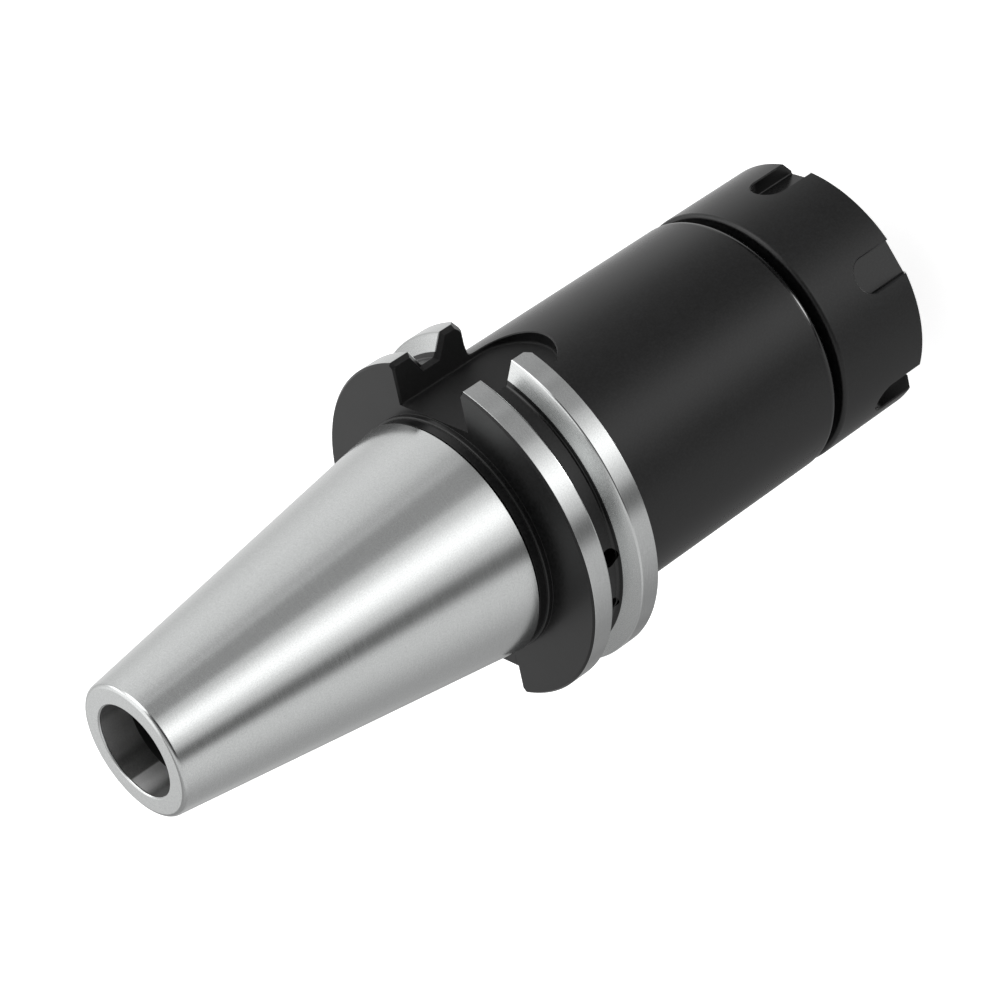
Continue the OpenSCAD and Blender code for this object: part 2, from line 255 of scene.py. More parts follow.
def rounded(corners, steps=CORNER_STEPS):
    """Closed outline with rounded corners, as points and normals of (radius, height).

    A corner is (radius from the axis, height, rounding). The outline runs clockwise, so its left side faces
    out of the metal. At each corner the normal swings evenly from one side's to the next, and the point lies
    at corner +- rounding * (normal - reach). Reach is the sum of both normals over 1 + their dot product.
    """
    table = np.array(corners, float)
    corner, rounding = table[:, :2], table[:, 2:]
    along = np.roll(corner, -1, 0) - corner
    leaving = np.stack([-along[:, 1], along[:, 0]], 1) / np.linalg.norm(along, axis=1)[:, None]
    coming = np.roll(leaving, 1, 0)
    start = np.arctan2(coming[:, 1], coming[:, 0])
    turn = np.arctan2(leaving[:, 1], leaving[:, 0]) - start
    turn = (turn + np.pi) % (2 * np.pi) - np.pi
    swing = start[:, None] + turn[:, None] * np.linspace(0, 1, steps + 1)
    normals = np.stack([np.cos(swing), np.sin(swing)], 2)
    reach = (coming + leaving) / (1 + (coming * leaving).sum(1))[:, None]
    side = -np.sign(turn)[:, None, None]
    points = corner[:, None] + side * rounding[:, None] * (normals - reach[:, None])
    return points.reshape(-1, 2), normals.reshape(-1, 2)


def net(rows, columns, close_rows, close_columns):
    """Corner numbers of the quads of a grid, wrapped round where a direction is closed."""
    i = np.arange(rows if close_rows else rows - 1)[:, None]
    j = np.arange(columns if close_columns else columns - 1)[None, :]
    down, right = (i + 1) % rows, (j + 1) % columns
    quads = np.stack([i * columns + j, down * columns + j, down * columns + right, i * columns + right], -1)
    return quads.reshape(-1, 4)


def make_mesh(name, points, quads, caps=(), band=None):
    """Object from an array of points, an array of quads and a few many-sided caps, facing outwards.

    The sign of the volume, a sixth of the sum of a . (b x c) over the triangles, tells which way it faces.
    """
    flat = np.asarray(points, float).reshape(-1, 3)
    fans = [np.array([[cap[0], cap[k], cap[k + 1]] for k in range(1, len(cap) - 1)]) for cap in caps]
    triangles = np.concatenate([quads[:, [0, 1, 2]], quads[:, [0, 2, 3]], *fans])
    a, b, c = (flat[triangles[:, k]] for k in range(3))
    inside_out = np.einsum("ij,ij->i", a, np.cross(b, c)).sum() < 0
    faces = quads.tolist() + [list(map(int, cap)) for cap in caps]
    if inside_out:
        faces = [face[::-1] for face in faces]
    mesh = bpy.data.meshes.new(name)
    mesh.from_pydata(flat, [], faces)
    layer = mesh.attributes.new(BAND, "INT", "FACE")
    numbers = np.zeros(len(faces), np.int32)
    if band is not None:
        numbers[: len(band)] = band
    layer.data.foreach_set("value", numbers)
    mesh.polygons.foreach_set("use_smooth", np.ones(len(faces), bool))
    piece = bpy.data.objects.new(name, mesh)
    bpy.context.scene.collection.objects.link(piece)
    return piece


def turned(name, outline, columns=ROUND_COLUMNS):
    """Surface of revolution: the outline's point (r, z) at turn a lies at (r cos a, r sin a, z)."""
    points = outline[0]
    turn = np.linspace(0, 2 * np.pi, columns, endpoint=False)
    grid = np.stack(
        [points[:, :1] * np.cos(turn), points[:, :1] * np.sin(turn), points[:, 1:] * np.ones_like(turn)], 2
    )
    quads = net(len(points), columns, True, True)
    band = 1 + np.arange(len(points)).repeat(columns)
    return make_mesh(name, grid, quads, band=band)


def skin(name, rings):
    """Closed solid through a row of rings with equally many points, capped at both ends."""
    count, size = rings.shape[:2]
    caps = [list(range(size)), list(range(count * size - 1, (count - 1) * size - 1, -1))]
    return make_mesh(name, rings, net(count, size, False, True), caps=caps)


def thread_sleeve(name, crest, root, back, pitch, low, high, columns):
    """Closed sleeve with a right-hand thread on one side and a plain wall on its back.

    The rows follow the helix z = pitch * (row + turn / 360 deg), held between low and high. Across one pitch
    the radius goes crest, crest, root, root, crest at 0, 1/8, 7/16, 11/16 and 1. It fades to the root at the
    sleeve's ends.
    """
    turn = np.linspace(0, 2 * np.pi, columns + 1)
    starts = np.arange(-1, math.ceil((high - low) / pitch) + 1)
    places = np.array([0, 1 / 8, 7 / 16, 11 / 16, 1])
    rows = (starts[:, None] + places[:-1]).ravel()
    z = np.clip(low + pitch * (rows[:, None] + turn / (2 * np.pi)), low, high)
    phase = ((z - low) / pitch - turn / (2 * np.pi)) % 1.0
    lift = np.interp(phase, places, [1, 1, 0, 0, 1])
    fade = np.minimum(z - low, high - z) / abs(crest - root)
    r = root + (crest - root) * np.minimum(lift, np.clip(fade, 0, 1))
    ends = np.ones_like(turn)
    r = np.vstack([back * ends, root * ends, r, root * ends, back * ends])
    z = np.vstack([low * ends, low * ends, z, high * ends, high * ends])
    grid = np.stack([r * np.cos(turn), r * np.sin(turn), z], 2)
    piece = make_mesh(name, grid, net(len(r), columns + 1, True, False))
    work = bmesh.new()
    work.from_mesh(piece.data)
    same = 1e-7
    bmesh.ops.remove_doubles(work, verts=work.verts, dist=same)
    bmesh.ops.dissolve_degenerate(work, edges=work.edges, dist=same)
    bmesh.ops.recalc_face_normals(work, faces=work.faces)
    work.to_mesh(piece.data)
    work.free()
    piece.data.set_sharp_from_angle(angle=SHARP)
    return piece


def put(grid, turn):
    """Turns points of (across, out, height) about the axis so that `out` points along `turn`."""
    across, out, height = grid[..., 0], grid[..., 1], grid[..., 2]
    c, s = math.cos(turn), math.sin(turn)
    return np.stack([out * c - across * s, out * s + across * c, height], -1)


def slot_path(half, run_z, far_z, way, steps=40):
    """Path round a slot with a round end: places on its wall and directions out of the slot.

    It runs from (-half, far_z) along the wall to run_z, half round the end on the side `way`, and back to
    (half, far_z).
    """
    t = np.linspace(0, np.pi, steps + 1)
    out = np.stack([-np.cos(t), way * np.sin(t)], 1)
    out = np.vstack([[-1, 0], out, [1, 0]])
    place = half * out + [0, run_z]
    place[0], place[-1] = (-half, far_z), (half, far_z)
    return place, out


def slot_cutter(name, turn, half, floor, top, run_z, far_z, way, corner):
    """Milled slot with a round end: rings of its wall from the floor outwards.

    At angle t up the corner between floor and wall, the ring lies corner * (1 - cos t) above the floor and
    corner * (1 - sin t) inside the wall.
    """
    place, out = slot_path(half, run_z, far_z, way)
    t = np.linspace(0, np.pi / 2, 7)
    rise = np.append(floor + corner * (1 - np.cos(t)), top)
    inset = np.append(corner * (1 - np.sin(t)), 0)
    ring = place[None] - out[None] * inset[:, None, None]
    grid = np.stack([ring[..., 0], rise[:, None] * np.ones(len(place)), ring[..., 1]], -1)
    return skin(name, put(grid, turn))


def edge_cutter(name, turn, half, radius, run_z, far_z, way, depth):
    """Sliver that breaks a slot's edge on a cylinder: a section of four corners along the slot's path.

    Its sloping side runs at 45 degrees from the wall, `depth` under the surface, to the surface, `depth`
    beside the slot.
    """
    place, out = slot_path(half, run_z, far_z, way)
    surface = np.sqrt(radius**2 - place[:, 0] ** 2)
    over = 0.5 * depth
    away = np.array([-over, depth + over, depth + over, -over])
    outside = np.full_like(surface, radius * 1.1)
    rise = np.stack([surface - depth - over, surface + over, outside, outside], 1)
    ring = place[:, None] + out[:, None] * away[None, :, None]
    return skin(name, put(np.stack([ring[..., 0], rise, ring[..., 1]], -1), turn))


def drilling_cutter(name, turn, radius, mouth, depth, z, rim):
    """Drilled hole across the axis: rings round a radial line, from the drill's tip to past the mouth.

    At the mouth it widens by `rim` at 45 degrees, which leaves the mouth broken.
    """
    tip = radius / DRILL_SLOPE
    out = np.array([mouth - depth - tip, mouth - depth, mouth - rim, mouth, mouth + FAR])
    wide = np.array([0.02 * radius, radius, radius, radius + rim, radius + rim])
    a = np.linspace(0, 2 * np.pi, 48, endpoint=False)
    grid = np.stack(
        [wide[:, None] * np.cos(a), out[:, None] * np.ones_like(a), z + wide[:, None] * np.sin(a)], -1
    )
    return skin(name, put(grid, turn))


def set_in(points, depth):
    """Moves each side of an open outline in by its own depth and joins the sides where their lines meet.

    A side with unit normal n, moved in by d, is the line n . x = n . p - d.
    """
    along = points[1:] - points[:-1]
    n = np.stack([-along[:, 1], along[:, 0]], 1) / np.linalg.norm(along, axis=1)[:, None]
    c = (n * points[:-1]).sum(1) - depth
    n1, n2, c1, c2 = n[:-1], n[1:], c[:-1], c[1:]
    det = n1[:, 0] * n2[:, 1] - n1[:, 1] * n2[:, 0]
    x = (c1 * n2[:, 1] - c2 * n1[:, 1]) / det
    y = (n1[:, 0] * c2 - n2[:, 0] * c1) / det
    first = points[0] - n[0] * depth[0]
    last = points[-1] - n[-1] * depth[-1]
    return np.vstack([first, np.stack([x, y], 1), last])


def discard(piece):
    """Removes an object and its mesh."""
    mesh = piece.data
    bpy.data.objects.remove(piece)
    bpy.data.meshes.remove(mesh)


def join(name, parts):
    """One object from several, with their shapes kept apart."""
    work = bmesh.new()
    for part in parts:
        work.from_mesh(part.data)
    mesh = bpy.data.meshes.new(name)
    work.to_mesh(mesh)
    work.free()
    for part in parts:
        discard(part)
    whole = bpy.data.objects.new(name, mesh)
    bpy.context.scene.collection.objects.link(whole)
    return whole


def bake_modifiers(piece):
    """Puts the result of the piece's modifiers into its mesh."""
    depsgraph = bpy.context.evaluated_depsgraph_get()
    mesh = bpy.data.meshes.new_from_object(piece.evaluated_get(depsgraph))
    old = piece.data
    piece.modifiers.clear()
    piece.data = mesh
    mesh.name = old.name
    bpy.data.meshes.remove(old)


def cut(piece, cutters):
    """Takes each cutter out of the piece in turn and removes it."""
    for cutter in cutters:
        before = len(piece.data.polygons)
        change = piece.modifiers.new("cut", "BOOLEAN")
        change.operation, change.solver, change.object = "DIFFERENCE", "MANIFOLD", cutter
        bake_modifiers(piece)
        if len(piece.data.polygons) == before:
            raise RuntimeError(f"{cutter.name} took nothing out of {piece.name}")
        discard(cutter)


def values_of(items, name, kind, width=1):
    """One value, or a row of `width` values, of each item of a mesh, as an array."""
    values = np.zeros(len(items) * width, kind)
    items.foreach_get(name, values)
    return values if width == 1 else values.reshape(-1, width).astype(float)


def turned_normals(piece, outline):
    """Gives turned faces the exact normals of their outline, and cut faces normals weighted by area.

    A corner of a turned face lies at a share t along its side of the outline. Its normal is the blend of the
    side's two end normals at t, turned to the corner's own place round the axis.
    """
    mesh = piece.data
    mesh.polygons.foreach_set("use_smooth", np.ones(len(mesh.polygons), bool))
    mesh.set_sharp_from_angle(angle=SHARP)
    change = piece.modifiers.new("weighted", "WEIGHTED_NORMAL")
    change.keep_sharp = True
    bake_modifiers(piece)
    mesh = piece.data
    normals = values_of(mesh.corner_normals, "vector", np.float32, 3)
    band = values_of(mesh.attributes[BAND].data, "value", np.int32)
    band = band.repeat(values_of(mesh.polygons, "loop_total", np.int32)) - 1
    at = values_of(mesh.loops, "vertex_index", np.int32)
    xyz = values_of(mesh.vertices, "co", np.float32, 3)[at]
    on = band >= 0
    points, turns = outline
    k = band[on]
    p0, p1 = points[k], points[(k + 1) % len(points)]
    n0, n1 = turns[k], turns[(k + 1) % len(points)]
    x, y, z = xyz[on].T
    place = np.stack([np.hypot(x, y), z], 1)
    along = p1 - p0
    t = np.clip(((place - p0) * along).sum(1) / np.maximum((along**2).sum(1), 1e-18), 0, 1)[:, None]
    n = n0 * (1 - t) + n1 * t
    n /= np.linalg.norm(n, axis=1)[:, None]
    r = np.maximum(place[:, 0], 1e-9)
    normals[on] = np.stack([n[:, 0] * x / r, n[:, 0] * y / r, n[:, 1]], 1)
    mesh.normals_split_custom_set(normals.tolist())


def math_node(operation, swapped=False):
    """Method of Term that adds one Math node, in which the term comes last if they are swapped."""

    def method(self, *others):
        values = (*others, self) if swapped else (self, *others)
        return self.finish.node("ShaderNodeMath", {"operation": operation}, dict(enumerate(values)))

    return method


class Term:
    """A number that varies over a surface: a node's output, with arithmetic that adds Math nodes."""

    __add__ = __radd__ = math_node("ADD")
    __sub__ = math_node("SUBTRACT")
    __rsub__ = math_node("SUBTRACT", swapped=True)
    __mul__ = __rmul__ = math_node("MULTIPLY")
    __pow__ = math_node("POWER")
    __abs__ = math_node("ABSOLUTE")
    most = math_node("MAXIMUM")
    arctan2 = math_node("ARCTAN2")
    pingpong = math_node("PINGPONG")

    def __init__(self, finish, socket):
        self.finish, self.socket = finish, socket

    def rise(self, low, high):
        """Smooth step from 0 at low to 1 at high."""
        return self.finish.node(
            "ShaderNodeMapRange",
            {"interpolation_type": "SMOOTHSTEP"},
            {"Value": self, "From Min": low, "From Max": high, "To Min": 0.0, "To Max": 1.0},
        )

    def fall(self, low, high):
        """Smooth step from 1 at low to 0 at high."""
        return 1.0 - self.rise(low, high)


class Finish:
    """A material's or a world's node tree, built by terms."""

    def __init__(self, owner):
        owner.use_nodes = True
        self.owner, self.tree = owner, owner.node_tree
        self.tree.nodes.clear()

    def node(self, kind, settings=None, inputs=None, output=0):
        """Adds a node, sets its settings, then the values or links of its sockets, and gives one output."""
        made = self.tree.nodes.new(kind)
        for key, value in (settings or {}).items():
            setattr(made, key, value)
        for key, value in (inputs or {}).items():
            socket = made.inputs[key]
            if isinstance(value, Term):
                self.tree.links.new(value.socket, socket)
            elif hasattr(socket.default_value, "__len__") and len(socket.default_value) == 4:
                socket.default_value = (*value, 1.0)
            else:
                socket.default_value = value
        return Term(self, made.outputs[output]) if made.outputs else None

    def mix(self, share, first, second):
        """Colour from first, at share 0, to second, at share 1."""
        return self.node(
            "ShaderNodeMix", {"data_type": "RGBA"}, {0: share, 6: first, 7: second}, output=2
        )

    def tint(self, shade, factor):
        """A colour times a number."""
        return self.node("ShaderNodeVectorMath", {"operation": "SCALE"}, {0: shade, "Scale": factor})

    def vector(self, x, y, z):
        return self.node("ShaderNodeCombineXYZ", None, {"X": x, "Y": y, "Z": z})

    def split(self, vector):
        made = self.node("ShaderNodeSeparateXYZ", None, {"Vector": vector})
        return [Term(self, made.socket.node.outputs[k]) for k in range(3)]

    def noise(self, vector, scale, detail=2.0, rough=0.5):
        """Noise from -0.5 to 0.5, about."""
        inputs = {"Vector": vector, "Scale": scale, "Detail": detail, "Roughness": rough}
        return self.node("ShaderNodeTexNoise", None, inputs) - 0.5


class MetalFinish(Finish):
    """A metal's material. The place on the part is x, y, z, and r from the axis, in millimetres."""

    def __init__(self, name):
        super().__init__(bpy.data.materials.new(name))
        self.place = self.node("ShaderNodeTexCoord", output=3)
        self.x, self.y, self.z = (term * (1.0 / MM) for term in self.split(self.place))
        self.r = (self.x * self.x + self.y * self.y) ** 0.5

    def tool_lines(self, fine, drift):
        """Noise drawn out round the axis, as grinding and turning leave it.

        It has `fine` lines to the millimetre across the grinding and changes `drift` times a millimetre
        along it.
        """
        across, along = self.r * fine + self.x * drift, self.z * fine + self.y * drift
        return self.noise(self.vector(across, along, (self.x + self.y) * drift), 1.0, 2.0, 0.6)

    def sheen(self):
        """Share of the roughness left: a satin surface looks smoother the flatter it is seen."""
        facing = self.node("ShaderNodeLayerWeight", None, {"Blend": 0.5}, output=1)
        return 1.0 - 0.6 * (facing * facing)

    def oxide(self, shade, rough, broad, painted_shade):
        """Colour and roughness of black oxide: specked, cloudy as `broad`, and darker by the share
        `painted_shade`, which is painted shade in recesses.
        """
        speck = self.noise(self.place, 2600.0)
        share = 1.0 + 0.5 * broad + 6.5 * speck - painted_shade
        return self.tint(shade, share.most(0.1)), rough * self.sheen() + 0.16 * speck + 0.05 * broad

    def done(self, base, rough, metal, height, gloss, strength=0.1):
        """Joins the finish to its surface."""
        bump = {"Strength": strength, "Distance": 0.02 * MM, "Height": height}
        normal = self.node("ShaderNodeBump", None, bump)
        surface = self.node(
            "ShaderNodeBsdfPrincipled",
            None,
            {
                "Base Color": base,
                "Roughness": rough,
                "Metallic": metal,
                "Normal": normal,
                "IOR": 1.5,
                "Specular IOR Level": gloss,
            },
        )
        self.node("ShaderNodeOutputMaterial", None, {"Surface": surface})
        return self.owner


def ground_areas(scene, metal):
    """Where the holder is ground bright: taper, rims and collet seat, and apart the flanks of the groove."""
    shank, flange, body = scene.chuck_shank, scene.chuck_flange, scene.chuck_body
    r, z = metal.r, metal.z
    taper_from = (shank.gauge_z - shank.run_on) / MM
    taper = z.rise(taper_from - 0.06, taper_from + 0.02)
    half_w, middle = flange.flange_w / 2 / MM, (flange.face_z - flange.flange_w / 2) / MM
    rim_r = flange.flange_d / 2 / MM
    rims = r.rise(rim_r - 0.05, rim_r - 0.02) * abs(z - middle).fall(half_w, half_w + 0.02)
    groove = (flange.face_z - flange.groove_place) / MM
    flank_at = (r - flange.floor_d / 2 / MM) * math.tan(flange.flank_angle) + flange.floor_w / 2 / MM
    ground_r = flange.ground_from_d / 2 / MM
    flanks = abs(abs(z - groove) - flank_at).fall(0.14, 0.18) * r.rise(ground_r - 0.04, ground_r + 0.04)
    seat_r, seat_to = body.seat_d / 2 / MM, body.seat_to_z / MM
    seat = r.fall(seat_r + 0.02, seat_r + 0.1) * z.fall(seat_to, seat_to + 0.1)
    return taper.most(rims).most(seat), flanks


def bore_areas(scene, metal):
    """The pilot bore's wall; its deep part, dark as the black tapped hole and as painted shade deep in the
    bore; and its tone, random streaks with painted light and dark bands round the axis that stand in for
    reflections.
    """
    shank = scene.chuck_shank
    top, pilot = (shank.gauge_z + shank.taper_l) / MM, shank.pilot_d / 2 / MM
    inside = metal.r.fall(pilot + 0.1, pilot + 0.3) * metal.z.fall(top - 0.5, top - 0.3)
    inside = inside * metal.z.rise(shank.gauge_z / MM, shank.gauge_z / MM + 1)
    # Below the ground depth the wall is painted dark: the tapped hole is black, and the dark pilot wall there
    # is painted shade deep in the bore.
    ground_to = top - shank.pilot_ground / MM
    tapped_and_shaded = inside * metal.z.fall(ground_to - 0.07, ground_to + 0.07)
    # The painted light and dark bands, which stand in for reflections on the bore's wall, begin and end at
    # bearings in degrees, counted from -X.
    turn = (0.0 - metal.y).arctan2(0.0 - metal.x) * DEGREES
    painted_bands = 0.5 * turn.fall(-26, -6) + 0.55 * turn.rise(27, 40) * turn.fall(61, 64)
    painted_bands = painted_bands + 0.55 * turn.rise(82, 100) - 0.5 * turn.rise(61, 64) * turn.fall(78, 96)
    rubbed = metal.noise(metal.vector(metal.x * 0.3, metal.y * 0.3, metal.z * 0.04), 1.0, 4.0, 0.45)
    return inside, tapped_and_shaded, 0.8 * rubbed - painted_bands


def milled_areas(scene, metal):
    """Floors and walls of the drive slots."""
    flange = scene.chuck_flange
    half, low, high = flange.slot_w / 2 / MM, flange.slot_low / MM, flange.slot_high / MM
    run_out, back = (flange.face_z - flange.slot_reach) / MM, (flange.face_z - flange.flange_w) / MM
    across, z = abs(metal.x), metal.z

    def floor(y, height, low_z):
        level = y.rise(height - 0.1, height - 0.05) * y.fall(height + 0.3, height + 0.5)
        return level * z.rise(low_z, low_z + 0.1)

    floors = floor(metal.y, low, run_out).most(floor(0.0 - metal.y, high, back))
    wall = across.rise(half - 0.06, half - 0.02) * abs(metal.y).rise(low, low + 0.2) * z.rise(run_out, back)
    return across.fall(half + 0.03, half + 0.08) * floors.most(wall)


def holder_finish(scene):
    """Blackened holder whose taper, rims and groove flanks were ground bright afterwards."""
    looks, flange, body = scene.chuck_looks, scene.chuck_flange, scene.chuck_body
    metal = MetalFinish("blackened_and_ground_steel")
    r, z = metal.r, metal.z
    lines, grain = metal.tool_lines(3.2, 0.35), metal.noise(metal.place, 4200.0)
    broad = metal.noise(metal.place, 160.0, 3.0)
    ground, flanks = ground_areas(scene, metal)
    bore, tapped_and_shaded, streaks_and_painted_bands = bore_areas(scene, metal)
    milled = milled_areas(scene, metal)
    bright = ground.most(flanks)

    rim_r, floor_r = flange.flange_d / 2 / MM, flange.floor_d / 2 / MM
    ground_r = flange.ground_from_d / 2 / MM
    flank_edge = flanks * r.rise(rim_r - 0.45, rim_r - 0.3)
    root = r.rise(floor_r + 0.01, floor_r + 0.06) * r.fall(ground_r - 0.04, ground_r + 0.04)
    root = root * abs(z - (flange.face_z - flange.groove_place) / MM).fall(2.2, 2.4)
    edge_z, edge_r = body.shoulder_z / MM + 1.7, body.body_d / 2 / MM - 1.2
    worn = z.fall(edge_z, edge_z + 0.3) * r.rise(edge_r, edge_r + 0.2)

    # In the bore the tone carries painted reflections: light and dark bands round the axis.
    tone = 1.0 + 0.1 * lines + 0.3 * grain + bore * streaks_and_painted_bands * (1 - tapped_and_shaded)
    # The bore's deep part is painted dark, partly as painted shade.
    steel = metal.tint(metal.mix(bore, looks.steel, looks.bore_steel), tone * (1 - 0.86 * tapped_and_shaded))
    black_rough = looks.black_rough * (1 - 0.5 * root)
    # Painted shade: the slot floors and walls, and more so the groove's root, are painted darker, as shade in
    # these recesses.
    black, rough_black = metal.oxide(looks.black, black_rough, broad, 0.3 * milled + 0.8 * root)
    rough_black = rough_black + 0.3 * milled - 0.28 * worn
    rough_steel = looks.steel_rough + 0.08 * lines + 0.04 * broad + 0.35 * bore
    rough_steel = rough_steel + 0.07 * flanks - 0.15 * flank_edge
    rough = rough_black + (rough_steel - rough_black) * bright
    height = lines * (0.3 + 0.4 * bright) + grain * (0.6 - 0.3 * bright)
    return metal.done(metal.mix(bright, black, steel), rough, bright, height, looks.black_gloss)


def nut_finish(scene):
    """Blackened nut, a little duller than the body, with its turned lines and its bright front cone."""
    looks, nut = scene.chuck_looks, scene.chuck_nut
    metal = MetalFinish("blackened_nut_steel")
    r, z = metal.r, metal.z
    cone_r = nut.room_d / 2 / MM
    cone_z = (nut.room_d - nut.mouth_d) / 2 / math.tan(nut.cone_angle) / MM
    bright = r.fall(cone_r - 0.1, cone_r - 0.02) * z.fall(cone_z, cone_z + 0.05) * z.rise(0.05, 0.12)
    rim_r, slot_l, end = nut.nut_d / 2 / MM, nut.slot_l / MM, nut.nut_l / MM
    floor_r = rim_r - nut.slot_depth / MM
    milled = r.fall(rim_r - 0.25, rim_r - 0.1) * r.rise(floor_r - 0.3, floor_r - 0.2)
    milled = milled * z.fall(slot_l, slot_l + 0.2)
    worn = z.rise(end - 1.0, end - 0.7) * r.rise(rim_r - 1.2, rim_r - 1.0)
    broad = metal.noise(metal.place, 140.0, 3.0)
    # Painted shade: the floors and walls of the spanner slots are painted darker, as shade in the slots.
    black, rough_black = metal.oxide(looks.nut_black, looks.black_rough + 0.06, broad, 0.3 * milled)
    rough_black = rough_black - 0.08 * worn - 0.12 * milled
    rough = rough_black + (0.24 - rough_black) * bright
    height = metal.tool_lines(3.0, 0.3) * 0.4 + metal.noise(metal.place, 2600.0) * 0.5
    return metal.done(metal.mix(bright, black, looks.steel), rough, bright, height, looks.black_gloss)


def collet_finish(scene):
    """Ground and hardened collet steel, a shade darker in its slots and groove."""
    looks, collet = scene.chuck_looks, scene.chuck_collet
    metal = MetalFinish("ground_collet_steel")
    lines = metal.tool_lines(4.0, 0.35)
    groove_r, bore_r = collet.groove_d / 2 / MM, collet.bore_d / 2 / MM
    groove = metal.r.fall(groove_r + 0.1, groove_r + 0.4) * metal.r.rise(bore_r + 0.3, bore_r + 1.0)
    base = metal.mix(groove * 0.8, looks.steel, looks.bore_steel)
    rough = 0.22 + 0.08 * lines + 0.06 * metal.noise(metal.place, 220.0, 3.0) + groove * 0.1
    return metal.done(base, rough, 1.0, lines, 0.5, strength=0.12)


def dress(piece, node, body, material):
    """Gives a piece its body, its slot and its material, and lets it stand for a CAD node if one is named."""
    piece.data.materials.clear()
    piece.data.materials.append(material)
    piece.data.polygons.foreach_set("material_index", np.zeros(len(piece.data.polygons), np.int32))
    piece.data.update()
    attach(piece, body)
    if node:
        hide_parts(node)


def flange_lines(flange):
    """Sizes from which the flange's outline is drawn.

    They are the radius of the rim and of the groove's floor, the height of the groove's middle, half the
    width of its floor, the height of a flank, and the height of the flange's back.
    """
    rim, floor = flange.flange_d / 2, flange.floor_d / 2
    flank = (rim - floor) * math.tan(flange.flank_angle)
    groove, back = flange.face_z - flange.groove_place, flange.face_z - flange.flange_w
    return rim, floor, groove, flange.floor_w / 2, flank, back


def holder_corners(scene):
    """Outline of the holder: (radius, height, rounding), clockwise from the pilot bore's mouth."""
    s, f, b = scene.chuck_shank, scene.chuck_flange, scene.chuck_body
    top = s.gauge_z + s.taper_l
    end_r = s.gauge_d / 2 - s.taper_l * TAPER_SLOPE
    run_r = s.gauge_d / 2 + s.run_on * TAPER_SLOPE
    run_z = s.gauge_z - s.run_on
    rim, floor, groove, half, flank, back = flange_lines(f)
    body_r = b.body_d / 2
    core = b.thread_d / 2 - CORE_DEPTH * b.thread_pitch
    under = b.thread_d / 2 - UNDERCUT_DEPTH * b.thread_pitch
    nose = b.shoulder_z - b.nose_l
    thread_top = b.shoulder_z - b.undercut_w
    lean = math.tan(b.seat_angle)
    seat_low = b.seat_d / 2 - (nose - b.seat_from_z) * lean
    seat_high = b.seat_d / 2 - (b.seat_to_z - b.seat_from_z) * lean
    shank_r, stop_r, cool_r = b.shank_bore_d / 2, b.stop_d / 2 + 0.1 * MM, s.coolant_d / 2
    shank_top = b.seat_to_z + b.shank_bore_l
    stop_low = shank_top + (shank_r - stop_r) / DRILL_SLOPE
    stop_top = shank_top + b.stop_l
    stud_end = top - s.stud_depth
    stud_crest = s.stud_d / 2 - s.stud_pitch / 2
    stud_root = s.stud_d / 2 + 0.15 * MM
    pilot = s.pilot_d / 2
    return [
        (pilot + s.pilot_bevel, top, s.pilot_bevel),
        (end_r, top, s.rim_r),
        (run_r, run_z, EDGE),
        (s.relief_d / 2, run_z - 0.1 * MM, EDGE),
        (s.relief_d / 2, run_z - s.relief_w + 0.1 * MM, EDGE),
        (s.neck_d / 2, run_z - s.relief_w, EDGE),
        (s.neck_d / 2, f.face_z + s.collar_w, 0.04 * MM),
        (s.collar_d / 2, f.face_z + s.collar_w, s.collar_round),
        (s.collar_d / 2, f.face_z, EDGE),
        (rim - f.bevel, f.face_z, EDGE),
        (rim, f.face_z - f.bevel, EDGE),
        (rim, groove + half + flank, f.rim_round),
        (floor, groove + half, f.root_round),
        (floor, groove - half, f.root_round),
        (rim, groove - half - flank, f.rim_round),
        (rim, back + f.back_bevel_l, EDGE),
        (rim - f.back_bevel_h, back, EDGE),
        (body_r, back, f.back_fillet),
        (body_r, b.shoulder_z + b.shoulder_bevel, b.shoulder_round),
        (body_r - b.shoulder_bevel, b.shoulder_z, 1.2 * MM),
        (under, b.shoulder_z, 0.3 * MM),
        (under, thread_top - 0.2 * MM, 0.1 * MM),
        (core, thread_top - 0.6 * MM, 0.1 * MM),
        (core, nose + 0.3 * MM, 0.05 * MM),
        (core - 0.3 * MM, nose, 0.05 * MM),
        (seat_low, nose, 0.2 * MM),
        (seat_high, b.seat_to_z, EDGE),
        (shank_r, b.seat_to_z, 0.1 * MM),
        (shank_r, shank_top, 0.1 * MM),
        (stop_r, stop_low, EDGE),
        (stop_r, stop_top, EDGE),
        (cool_r, stop_top + (stop_r - cool_r) / DRILL_SLOPE, EDGE),
        (cool_r, stud_end - (stud_crest - cool_r) / DRILL_SLOPE, EDGE),
        (stud_crest, stud_end, EDGE),
        (stud_crest, stud_end + 2 * MM, EDGE),
        (stud_root, stud_end + 2.8 * MM, EDGE),
        (stud_root, top - s.pilot_depth, EDGE),
        (pilot, top - s.pilot_depth, 0.2 * MM),
        (pilot, top - s.pilot_bevel, s.pilot_bevel),
    ]


